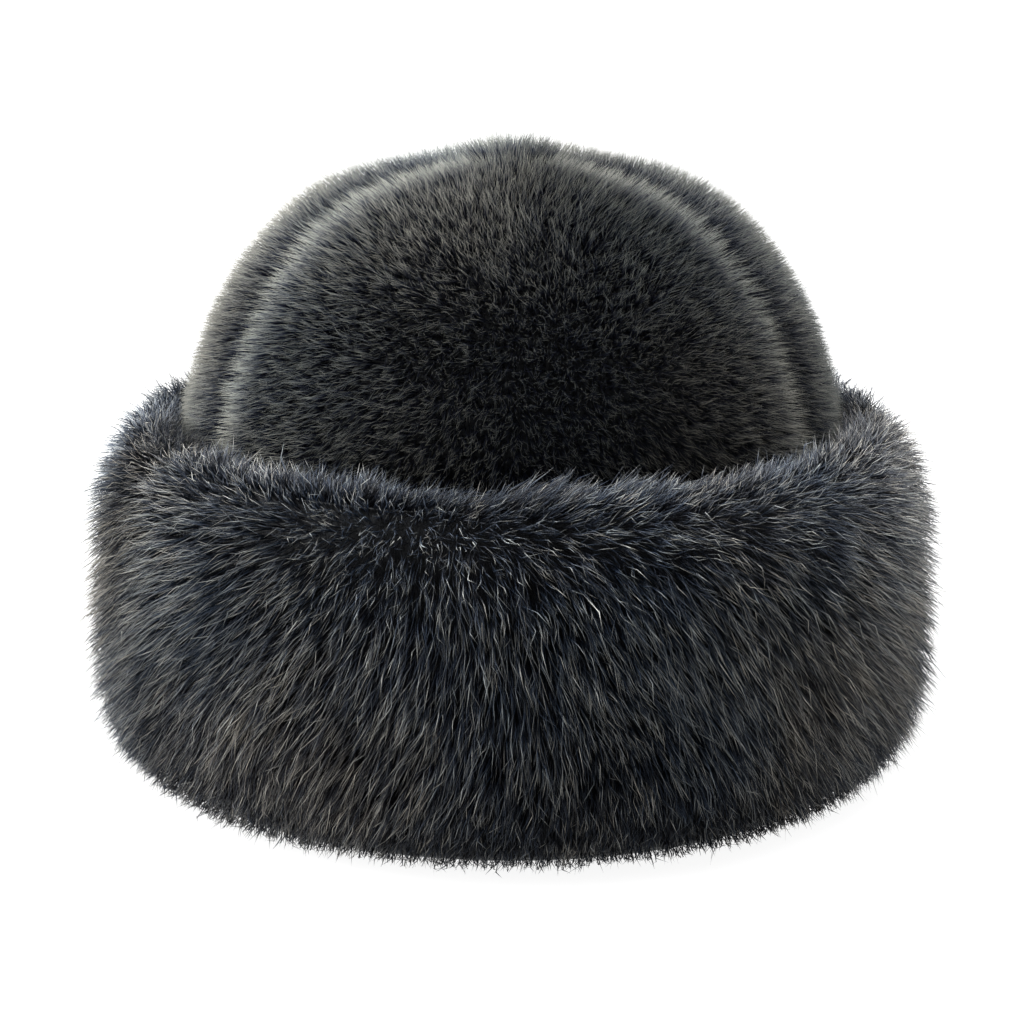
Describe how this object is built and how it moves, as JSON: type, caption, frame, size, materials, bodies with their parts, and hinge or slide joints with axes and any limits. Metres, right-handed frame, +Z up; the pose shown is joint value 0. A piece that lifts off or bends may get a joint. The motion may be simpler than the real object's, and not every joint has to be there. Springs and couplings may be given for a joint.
{
  "type": "domed fur hat with a turned-up fur cuff",
  "caption": "Domed winter hat of short-pile dark fur gores with a wide turned-up long-fur cuff, hollow inside to be worn on the head.",
  "frame": {"origin": "on the floor under the middle of the hat, at the bottom centre of its bounding box", "axes": "+Z up through the crown, -Y towards the wearer's face, +X towards the wearer's left ear"},
  "size_m": [0.2806, 0.2884, 0.2],
  "materials": {
    "short_fur": "dense short fur pile, charcoal to blue-black, dark roots and lighter tips",
    "long_fur": "long silky fur in pointed clumps, blue-black roots, charcoal grey tips, soft sheen"
  },
  "bodies": {
    "root": {"crown_front": "short_fur", "crown_right": "short_fur", "crown_back": "short_fur", "crown_left": "short_fur", "cuff": "long_fur"}
  },
  "joints": []
}
